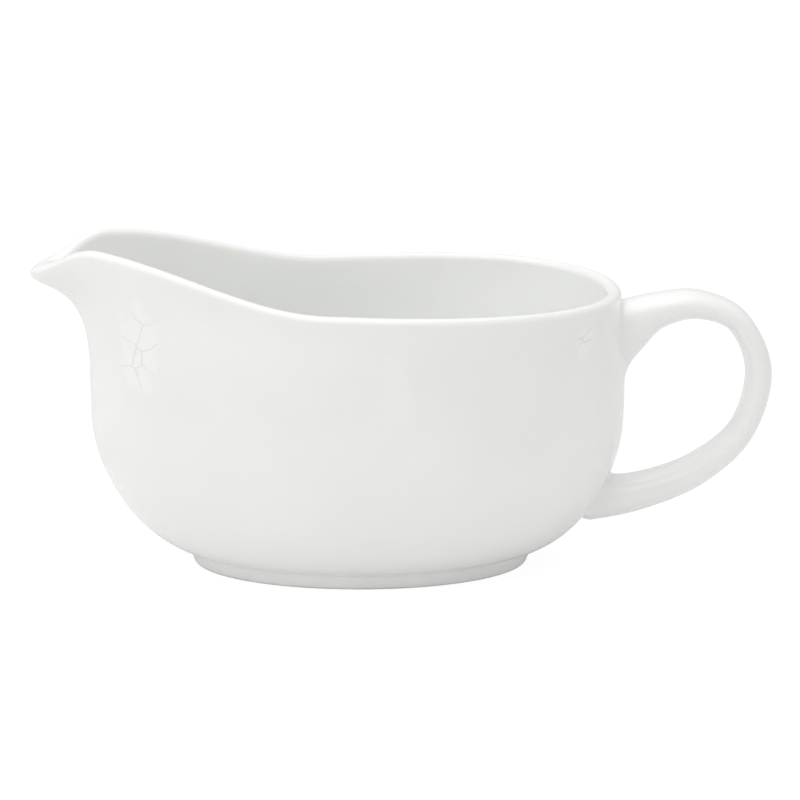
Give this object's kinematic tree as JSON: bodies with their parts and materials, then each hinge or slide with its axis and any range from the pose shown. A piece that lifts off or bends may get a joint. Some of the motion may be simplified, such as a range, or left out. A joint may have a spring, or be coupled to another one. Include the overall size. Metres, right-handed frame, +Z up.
{
  "type": "gravy boat",
  "caption": "Oval gravy boat with a raised pouring spout at one end, a closed loop handle at the other and a low foot ring, in white glazed ceramic.",
  "frame": {"origin": "on the table, under the middle of the whole length from spout tip to handle", "axes": "+X from the spout towards the handle, +Z up, and the boat is the same on both sides of the plane Y = 0"},
  "size_m": [0.2099, 0.095, 0.0933],
  "materials": {
    "white_glaze": "gloss",
    "foot_glaze": "gloss, with an unglazed bearing edge"
  },
  "bodies": {
    "root": {"bowl": "white_glaze", "handle": "white_glaze", "foot_ring": "foot_glaze"}
  },
  "joints": []
}
